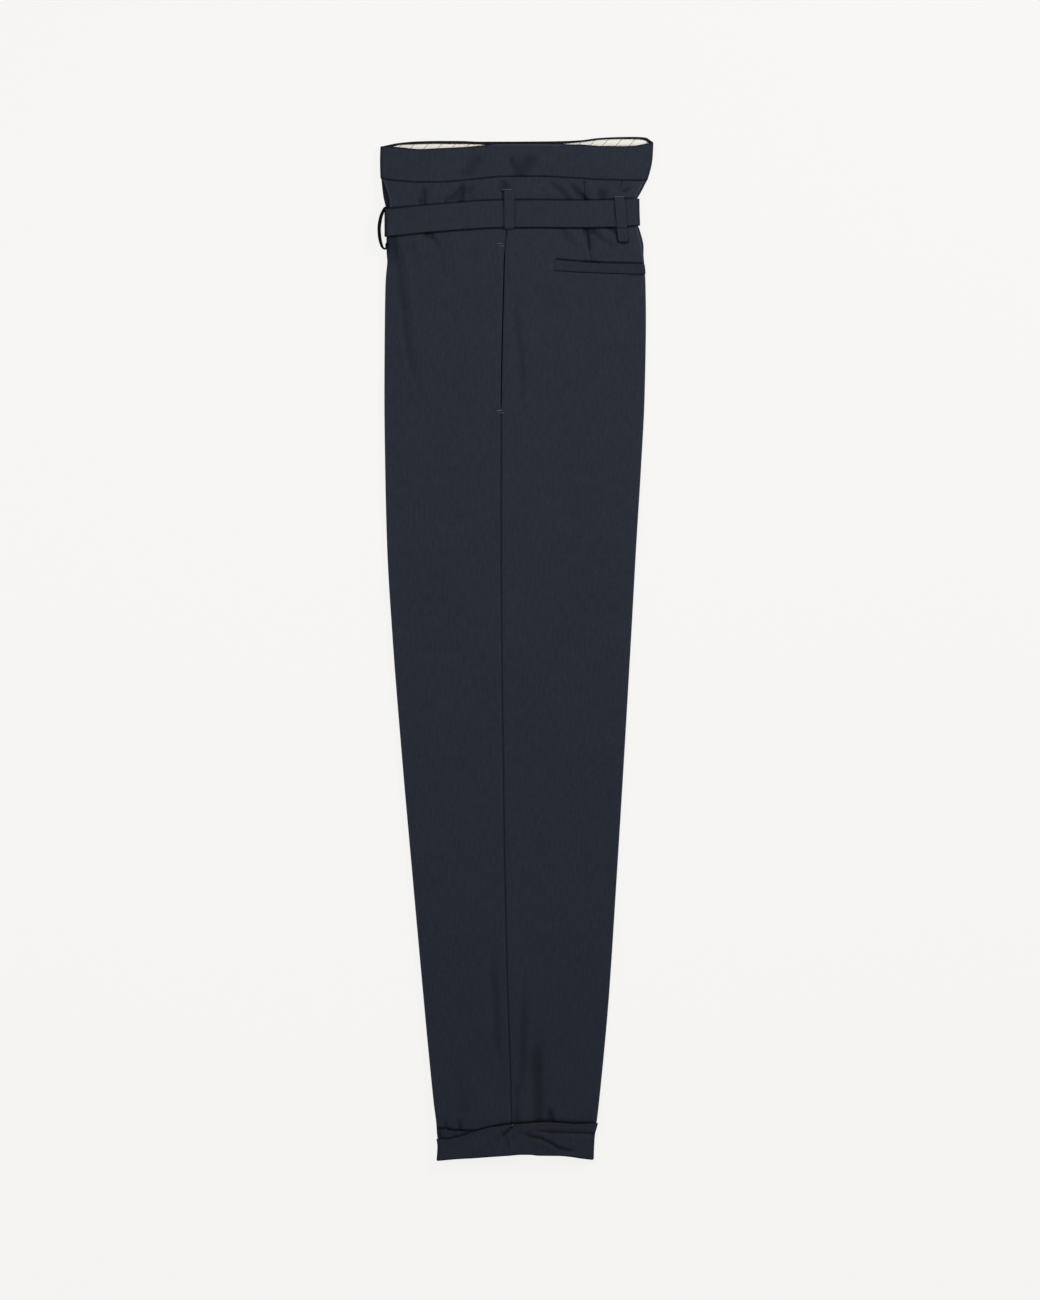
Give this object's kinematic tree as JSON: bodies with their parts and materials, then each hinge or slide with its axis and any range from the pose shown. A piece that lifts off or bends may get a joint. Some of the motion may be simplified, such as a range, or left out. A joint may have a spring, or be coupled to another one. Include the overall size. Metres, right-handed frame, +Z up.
{
  "type": "paperbag waist trousers, folded side to side and laid flat",
  "caption": "Tapered paperbag waist trousers with a self-fabric belt, in-seam side pockets, back welt pockets and turn-ups, folded on the creases and laid flat.",
  "frame": {"origin": "centre of the bounding box in plan, on the surface the garment lies on", "axes": "+Y towards the waist, +X towards the wearer's back, +Z up from the surface, the wearer's left side on top"},
  "size_m": [0.292, 1.0865, 0.0196],
  "materials": {
    "suiting": "fine matt navy wool twill with a faint sheen",
    "belt_cloth": "the same navy wool twill, doubled and pressed",
    "lining": "smooth cream waistband lining with thin grey diagonal lines"
  },
  "bodies": {
    "root": {"front_left": "suiting", "back_left": "suiting", "front_right": "suiting", "back_right": "suiting", "waistband_left": "suiting", "waistband_right": "suiting", "waistband_lining_left": "lining", "waistband_lining_right": "lining", "belt": "belt_cloth", "belt_loop_front_left": "belt_cloth", "belt_loop_front_right": "belt_cloth", "belt_loop_side_left": "belt_cloth", "belt_loop_side_right": "belt_cloth", "belt_loop_back_left": "belt_cloth", "belt_loop_back_right": "belt_cloth", "pocket_facing_left": "suiting", "pocket_facing_right": "suiting", "back_welt_left": "suiting", "back_welt_right": "suiting", "cuff_left": "suiting", "cuff_right": "suiting"}
  },
  "joints": []
}
